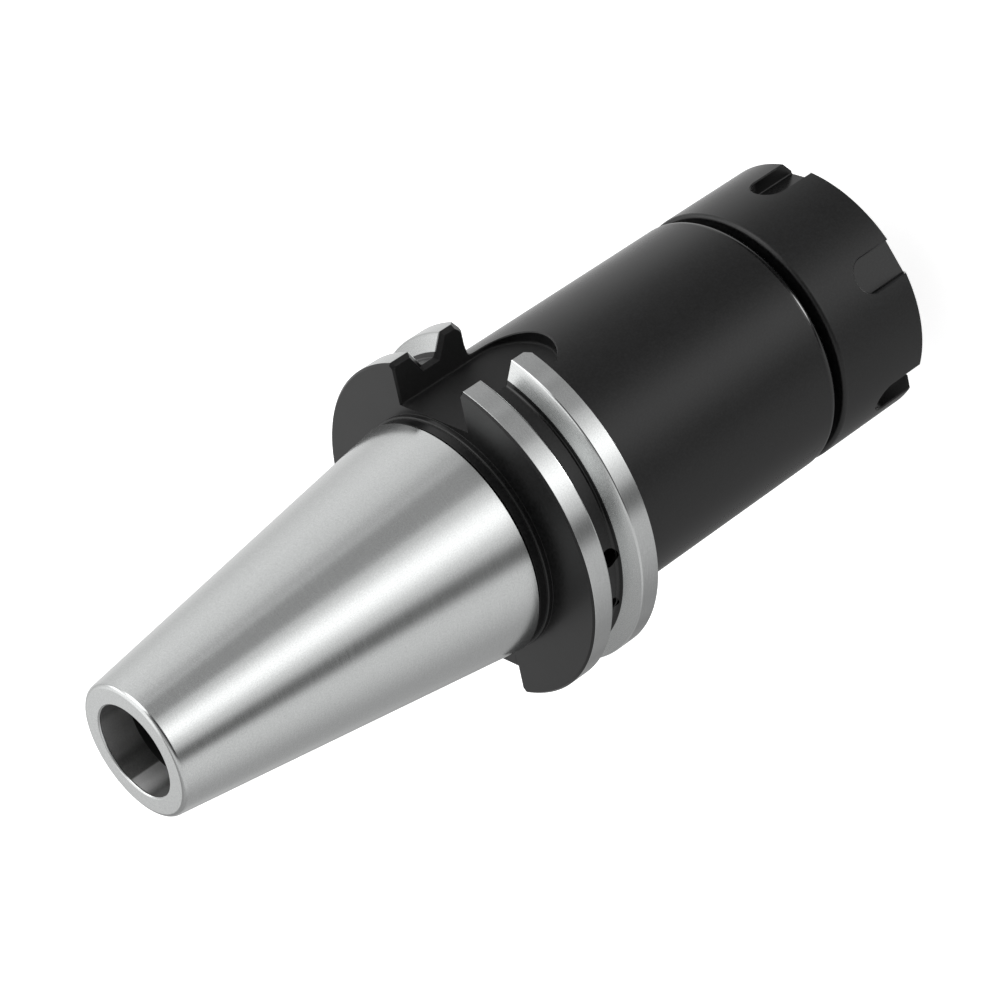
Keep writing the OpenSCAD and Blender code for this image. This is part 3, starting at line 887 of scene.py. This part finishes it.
def lug_cutter(name, scene, floor, turn, side):
    """Bevel along a slot's edge round the whole outline of its lug.

    In the plane at `across` from the slot's middle, the outline's radius r gives the height
    sqrt(r^2 - across^2). The sides are set in by their bevel less the distance of the plane from the wall,
    so the cut slopes at 45 degrees.
    """
    f, b = scene.chuck_flange, scene.chuck_body
    rim, ground, groove, half, flank, back = flange_lines(f)
    q = f.back_fillet
    start_z = back - 1.5 * MM
    wall = f.slot_w / 2
    bend = np.linspace(np.pi / 2, np.pi, 5)
    fillet = np.stack([b.body_d / 2 + q + q * np.cos(bend), back - q + q * np.sin(bend)], 1)
    outline = np.vstack(
        [
            [[math.hypot(floor, wall), f.face_z], [rim - f.bevel, f.face_z], [rim, f.face_z - f.bevel]],
            [[rim, groove + half + flank], [ground, groove + half], [ground, groove - half]],
            [[rim, groove - half - flank], [rim, back + f.back_bevel_l], [rim - f.back_bevel_h, back]],
            fillet,
            [[b.body_d / 2, start_z]],
        ]
    )
    deep, thin, slight = f.lug_bevel, f.lug_face_bevel, f.pocket_bevel
    bevel = np.array([thin, *[deep] * 7, 0.6 * deep, *[1.5 * slight] * 4, slight])
    far = rim + FAR
    rings = []
    for shift in (-0.3 * MM, deep + 0.1 * MM):
        across = wall + shift
        flat = np.stack([np.sqrt(outline[:, 0] ** 2 - across**2), outline[:, 1]], 1)
        flat[0, 0] = floor
        inner = set_in(flat, bevel - shift)
        inner[0, 0] = floor
        around = np.vstack([inner, [far, start_z], [far, f.face_z + 2 * MM], [floor, f.face_z + 2 * MM]])
        rings.append(np.stack([np.full(len(around), side * across), around[:, 0], around[:, 1]], 1))
    return skin(name, put(np.array(rings), turn))


def corner_cutter(name, scene, turn, side):
    """Cuts the rear corner off a lug along a slanting plane.

    With u the distance from the slot's bevel, w the height over the rim's back edge and h the depth under the
    rim, the plane is (u + w + h) / cut = 1. In each ring it is the line from far outside down past the edge.
    """
    f = scene.chuck_flange
    rim, cut_l = f.flange_d / 2, f.corner_cut
    edge_z = f.face_z - f.flange_w + f.back_bevel_l
    far, under = 2 * MM, 4 * MM
    rings = []
    for u in (-1.2 * MM, 1.3 * MM):
        left = 1 - u / cut_l
        top_w = cut_l * left + far
        low_h = cut_l * left + under
        across = f.slot_w / 2 + f.lug_bevel + u
        out = math.sqrt(rim**2 - across**2)
        low = edge_z - under
        ring = np.array([[out + far, edge_z + top_w], [out - low_h, low], [out + far, low]])
        rings.append(np.stack([np.full(3, side * across), ring[:, 0], ring[:, 1]], 1))
    return skin(name, put(np.array(rings), turn))


class CHUCK_OT_holder(bpy.types.Operator):
    """Builds the holder: taper shank, slotted flange, body and threaded nose"""

    bl_idname = "chuck.holder"
    bl_label = "Holder"

    def execute(self, context):
        scene = context.scene
        s, f, b = scene.chuck_shank, scene.chuck_flange, scene.chuck_body
        outline = rounded(holder_corners(scene))
        piece = turned("holder_turned", outline)
        half, far = f.slot_w / 2, f.face_z + FAR
        run_z = f.face_z - f.slot_reach + half
        top, back = f.flange_d / 2 + 2 * MM, f.face_z - f.flange_w
        sides = ((f.slot_low, NORTH), (f.slot_high, -NORTH))
        slots = [
            slot_cutter(f"slot_{k}", turn, half, floor, top, run_z, far, -1, f.slot_corner)
            for k, (floor, turn) in enumerate(sides)
        ]
        lugs = [(floor, turn, side) for floor, turn in sides for side in (-1, 1)]
        bevels = [lug_cutter(f"lug_{k}", scene, *lug) for k, lug in enumerate(lugs)]
        corners = [corner_cutter(f"corner_{k}", scene, *lug[1:]) for k, lug in enumerate(lugs)]
        pocket = edge_cutter(
            "pocket_cut", NORTH, half, b.body_d / 2, run_z, back - 1.2 * MM, -1, f.pocket_bevel
        )
        mouth, groove = f.floor_d / 2, f.face_z - f.groove_place
        drillings = [
            drilling_cutter("main", 0.0, f.main_d / 2, mouth, f.main_depth, groove, 0.03 * MM),
            drilling_cutter("fine", f.fine_turn, f.fine_d / 2, mouth, f.fine_depth, groove, 0.14 * MM),
        ]
        cut(piece, [join("slots_cut", slots), join("bevels_cut", bevels), join("corners_cut", corners)])
        cut(piece, [pocket, join("drillings_cut", drillings)])
        turned_normals(piece, outline)
        finish = holder_finish(scene)
        dress(piece, "holder_body", "holder", finish)

        nose_r, nose_pitch, nose = b.thread_d / 2, b.thread_pitch, b.shoulder_z - b.nose_l
        root = nose_r - THREAD_DEPTH * nose_pitch
        stud_r, top_z = s.stud_d / 2, s.gauge_z + s.taper_l
        stop_r, stop_low = b.stop_d / 2, b.seat_to_z + b.shank_bore_l + 1.2 * MM
        threads = (
            ("nose_thread", nose_r - 0.05 * MM, root, root - 0.5 * MM, nose_pitch,
             nose + 0.15 * MM, b.shoulder_z - b.undercut_w, 144),
            ("stud_thread", stud_r - s.stud_pitch / 2, stud_r, stud_r + 0.4 * MM, s.stud_pitch,
             top_z - s.stud_depth + 2.2 * MM, top_z - s.pilot_depth, 96),
            ("stop_screw_thread", stop_r - STOP_DEPTH * nose_pitch, stop_r, stop_r + 0.4 * MM, nose_pitch,
             stop_low, stop_low + b.stop_l - 2 * MM, 96),
        )
        for thread in threads:
            dress(thread_sleeve(*thread), None, "holder", finish)
        return {"FINISHED"}


class CHUCK_OT_nut(bpy.types.Operator):
    """Builds the clamping nut with its spanner slots, eccentric lip and thread"""

    bl_idname = "chuck.nut"
    bl_label = "Clamping nut"

    def execute(self, context):
        scene = context.scene
        n, b = scene.chuck_nut, scene.chuck_body
        rim = n.nut_d / 2
        play = b.thread_play
        wall = b.thread_d / 2 + play + 0.2 * MM
        mouth, room = n.mouth_d / 2, n.room_d / 2
        cone_z = (room - mouth) / math.tan(n.cone_angle)
        nose = b.shoulder_z - b.nose_l
        edge = 0.1 * MM
        lip_top = n.lip_z + n.lip_w
        ledge = b.seat_d / 2 + 0.65 * MM
        outline = rounded(
            [
                (wall + 0.35 * MM, n.nut_l, edge),
                (rim - n.back_bevel, n.nut_l, 0.75 * MM),
                (rim, n.nut_l - n.back_bevel, 0.75 * MM),
                (rim, n.front_bevel_l, 0.3 * MM),
                (rim - n.front_bevel_h, 0.0, 0.2 * MM),
                (mouth, 0.0, 0.12 * MM),
                (room, cone_z, edge),
                (room, n.lip_z, edge),
                (mouth, n.lip_z, edge),
                (mouth, lip_top, edge),
                (ledge, lip_top, edge),
                (ledge, nose - 0.4 * MM, edge),
                (wall, nose - 0.4 * MM, 0.2 * MM),
                (wall, n.nut_l - 0.5 * MM, edge),
            ]
        )
        piece = turned("nut_turned", outline)
        half = n.slot_w / 2
        run_z = n.slot_l - half
        floor = rim - n.slot_depth
        turns = [NORTH + n.slot_turn + 2 * math.pi * k / n.slots for k in range(n.slots)]
        slots = [
            slot_cutter(f"slot_{k}", turn, half, floor, rim + MM, run_z, -MM, 1, n.slot_corner)
            for k, turn in enumerate(turns)
        ]
        edges = [
            edge_cutter(f"edge_{k}", turn, half, rim, run_z, n.front_bevel_l, 1, 0.25 * MM)
            for k, turn in enumerate(turns)
        ]
        a = np.linspace(0, 2 * np.pi, 192, endpoint=False)
        lip_r, over = n.lip_d / 2, 0.2 * MM
        ring = np.stack([n.lip_offset + lip_r * np.cos(a), lip_r * np.sin(a), np.zeros_like(a)], 1)
        lip = skin("lip_cut", np.array([ring + [0, 0, n.lip_z - over], ring + [0, 0, lip_top + over]]))
        cut(piece, [join("spanner_slots_cut", slots), join("spanner_edges_cut", edges), lip])
        turned_normals(piece, outline)
        finish = nut_finish(scene)
        dress(piece, "clamping_nut", "nut", finish)
        crest, root = b.thread_d / 2 - 0.5 * b.thread_pitch, b.thread_d / 2 + play
        # Half a pitch off the nose's thread, so that a groove of the nut runs over each crest of the nose.
        low, high = nose + 0.15 * MM + 1.5 * b.thread_pitch, n.nut_l - 0.3 * MM
        thread = thread_sleeve("nut_thread", crest, root, wall + 0.4 * MM, b.thread_pitch, low, high, 144)
        dress(thread, None, "nut", finish)
        return {"FINISHED"}


class CHUCK_OT_collet(bpy.types.Operator):
    """Builds the spring collet with its slots"""

    bl_idname = "chuck.collet"
    bl_label = "Spring collet"

    def execute(self, context):
        scene = context.scene
        c, b, n = scene.chuck_collet, scene.chuck_body, scene.chuck_nut
        low, high = c.inset, c.inset + c.collet_l
        groove_low = low + c.groove_place
        groove_top = groove_low + c.groove_w
        lean = math.tan(b.seat_angle)
        wide = c.collet_d / 2
        end_r = wide - (high - b.seat_from_z) * lean
        head_z = low + (c.head_d - c.face_d) / 2 / math.tan(n.cone_angle)
        bore, edge = c.bore_d / 2, 0.12 * MM
        outline = rounded(
            [
                (end_r - 0.4 * MM, high, edge),
                (end_r, high - 0.4 * MM, edge),
                (wide, b.seat_from_z, edge),
                (wide - 0.3 * MM, groove_top, 0.08 * MM),
                (c.groove_d / 2, groove_top, 0.3 * MM),
                (c.groove_d / 2, groove_low, 0.3 * MM),
                (c.head_d / 2, groove_low, edge),
                (c.head_d / 2, head_z, edge),
                (c.face_d / 2, low, edge),
                (bore + 0.4 * MM, low, edge),
                (bore, low + 0.4 * MM, edge),
                (bore, high - 0.4 * MM, edge),
                (bore + 0.4 * MM, high, edge),
            ]
        )
        piece = turned("collet_turned", outline, 240)
        half = c.slot_w / 2
        square = np.array([[-half, 0], [half, 0], [half, 1], [-half, 1]])
        blades = []
        for k in range(2 * c.slots):
            from_front = k % 2 == 0
            z0, z1 = (low - MM, high - c.web) if from_front else (low + c.web, high + MM)
            ring = np.stack([square[:, 0], np.zeros(4), z0 + square[:, 1] * (z1 - z0)], 1)
            rings = np.array([ring + [0, bore - 1.5 * MM, 0], ring + [0, wide + MM, 0]])
            blades.append(skin(f"blade_{k}", put(rings, math.pi * k / c.slots)))
        cut(piece, [join("collet_slots_cut", blades)])
        turned_normals(piece, outline)
        dress(piece, "spring_collet", "collet", collet_finish(scene))
        return {"FINISHED"}


# Panels of the light tent: strength, then bearing, half width and softness in degrees, then between which
# heights of the ray, from -1 straight down to 1 straight up, it comes in and goes out.
LOW = (-0.54, -0.34)
WALL_LAMPS = (
    (0.94, 32.5, 11, 22, (-0.97, -0.85)),
    (9.0, 30, 16, 16, (-0.97, -0.95), (-0.9, -0.87)),
    (0.11, 133, 14, 30),
    (-0.07, 170, 8, 20),
)
WALL_FLAGS = (
    (0.8, -4, 9.5, 13),
    (0.55, 71, 13, 6),
    (0.4, 92, 6.5, 22),
    (0.44, -86, 32, 55),
    (0.28, -75, 60, 30, None, LOW),
    (0.5, 108, 24, 34, None, LOW),
    (-0.25, 84, 22, 20, None, (-0.46, -0.38)),
    (0.8, 95, 42, 40, None, (-0.7, -0.56)),
    (0.25, -133, 14, 14),
    (0.35, -113, 14, 16, None, LOW),
)
DOME_LAMPS = (
    (1.4, 150, 10, 12, (0.15, 0.35), (0.55, 0.8)),
    (1.0, 100, 25, 14, None, (0.6, 0.8)),
    (1.0, 102, 14, 12, (0.08, 0.2), (0.45, 0.6)),
)


def tent_light(scene):
    """Light tent as a world: a plain white wall and a dome, with soft lamps and dark flags round the axis.

    A panel's share is a smooth step of the angle between the ray's bearing and the panel's middle, which goes
    up to 180 degrees and down again. Lamps add their strength, and flags take out a share. The camera sees
    plain white instead, in a branch of its own, which saves working out the panels for it.
    """
    world = bpy.data.worlds.new("light_tent")
    scene.world = world
    tent = Finish(world)
    ray = tent.node("ShaderNodeTexCoord", output=0)
    x, y, z = tent.split(ray)
    turn = y.arctan2(x) * DEGREES

    def panel(strength, bearing, half, soft, comes=None, goes=None):
        off = (turn - bearing).pingpong(180.0)
        share = strength * off.fall(half - soft / 2, half + soft / 2)
        if comes:
            share = share * z.rise(*comes)
        return share * z.fall(*goes) if goes else share

    light = scene.chuck_studio.tent
    for lamp in WALL_LAMPS:
        light = light + panel(*lamp)
    for flag in WALL_FLAGS:
        light = light * (1 - panel(*flag))
    # The dome is dim over one half and bright over the other, and has a dark flag on the camera's side.
    dim = 0.36 + panel(0.16, -80, 30, 40) * z + panel(0.38, -35, 30, 40)
    bright = 0.6 + 0.75 * z.rise(0.1, 0.85)
    for lamp in DOME_LAMPS:
        bright = bright + panel(*lamp)
    bright = bright * (1 - panel(0.7, 80, 8, 6, (0.5, 0.6), (0.85, 0.95)))
    dome = dim + (bright - dim) * panel(1.0, 147, 74, 5)
    dome = dome * (1 - panel(0.85, 32.5, 40.5, 3, None, (0.62, 0.78)))
    light = light + (dome - light) * z.rise(0.0, 0.12)
    seen = tent.node("ShaderNodeLightPath", output=0)
    white = (1.0, 1.0, 1.0)
    lit = tent.node("ShaderNodeBackground", None, {"Color": white, "Strength": light})
    plain = tent.node("ShaderNodeBackground", None, {"Color": white, "Strength": 1.0})
    either = tent.node("ShaderNodeMixShader", None, {0: seen, 1: lit, 2: plain})
    tent.node("ShaderNodeOutputWorld", None, {"Surface": either})


class CHUCK_OT_stage(bpy.types.Operator):
    """Builds the camera, the pale floor and the light tent"""

    bl_idname = "chuck.stage"
    bl_label = "Stage"

    def execute(self, context):
        scene = context.scene
        studio = scene.chuck_studio
        tent_light(scene)

        a, e = studio.azimuth, studio.elevation
        back = Vector((math.cos(a) * math.cos(e), math.sin(a) * math.cos(e), math.sin(e)))
        lens = bpy.data.cameras.new("camera")
        lens.sensor_width, lens.lens = 36.0, studio.lens
        lens.clip_start, lens.clip_end = 0.01, 20.0
        camera = bpy.data.objects.new("camera", lens)
        scene.collection.objects.link(camera)
        camera.location = Vector(studio.aim) + back * studio.distance
        camera.rotation_mode = "QUATERNION"
        level = (-back).to_track_quat("-Z", "Y")
        camera.rotation_quaternion = level @ Quaternion((0, 0, 1), -studio.roll)
        scene.camera = camera

        s = studio.floor_size
        drop = -studio.floor_drop
        mesh = bpy.data.meshes.new("floor")
        corners = [(-s, -s, drop), (s, -s, drop), (s, s, drop), (-s, s, drop)]
        mesh.from_pydata(corners, [], [(0, 1, 2, 3)])
        floor = bpy.data.objects.new("floor", mesh)
        scene.collection.objects.link(floor)
        pale = Finish(bpy.data.materials.new("pale_floor"))
        place = pale.node("ShaderNodeTexCoord", output=3)
        cloudy = 0.5 + pale.noise(place, 40.0, 3.0)
        white = pale.mix(cloudy, (0.9, 0.9, 0.9), (0.93, 0.93, 0.93))
        paint = pale.node("ShaderNodeBsdfDiffuse", None, {"Color": white})
        # For the camera it glows as well, so it nearly meets the white behind it but keeps its shadow.
        seen = pale.node("ShaderNodeLightPath", output=0)
        glow = pale.node("ShaderNodeEmission", None, {"Color": (1.0, 1.0, 1.0), "Strength": 0.72 * seen})
        both = pale.node("ShaderNodeAddShader", None, {0: paint, 1: glow})
        # From below it is clear, so that the chuck can be looked at from there too.
        from_below = pale.node("ShaderNodeNewGeometry", output=6)
        clear = pale.node("ShaderNodeBsdfTransparent")
        one_sided = pale.node("ShaderNodeMixShader", None, {0: from_below, 1: both, 2: clear})
        pale.node("ShaderNodeOutputMaterial", None, {"Surface": one_sided})
        mesh.materials.append(pale.owner)
        floor.visible_glossy = False

        scene.view_settings.view_transform = "Standard"
        return {"FINISHED"}


class CHUCK_PT_panel(bpy.types.Panel):
    """Lists the builders of the chuck in the sidebar"""

    bl_idname = "CHUCK_PT_panel"
    bl_label = "Collet chuck holder"
    bl_space_type = "VIEW_3D"
    bl_region_type = "UI"
    bl_category = "Chuck"

    def draw(self, context):
        for operator in OPERATORS:
            self.layout.operator(operator.bl_idname)
        for group in GROUPS:
            box = self.layout.box()
            box.label(text=group.__doc__)
            for name in group.__annotations__:
                box.prop(getattr(context.scene, GROUPS[group]), name)


GROUPS = {
    ShankSizes: "chuck_shank",
    FlangeSizes: "chuck_flange",
    BodySizes: "chuck_body",
    NutSizes: "chuck_nut",
    ColletSizes: "chuck_collet",
    ChuckFinishes: "chuck_looks",
    Studio: "chuck_studio",
}
OPERATORS = (CHUCK_OT_stage, CHUCK_OT_holder, CHUCK_OT_nut, CHUCK_OT_collet)


def register():
    for group, name in GROUPS.items():
        bpy.utils.register_class(group)
        setattr(bpy.types.Scene, name, bpy.props.PointerProperty(type=group))
    for made in (*OPERATORS, CHUCK_PT_panel):
        bpy.utils.register_class(made)


def unregister():
    for made in (CHUCK_PT_panel, *reversed(OPERATORS)):
        bpy.utils.unregister_class(made)
    for group, name in reversed(GROUPS.items()):
        delattr(bpy.types.Scene, name)
        bpy.utils.unregister_class(group)


def main():
    register()
    bpy.ops.chuck.stage()
    bpy.ops.chuck.holder()
    bpy.ops.chuck.nut()
    bpy.ops.chuck.collet()


if __name__ == "__main__":
    main()
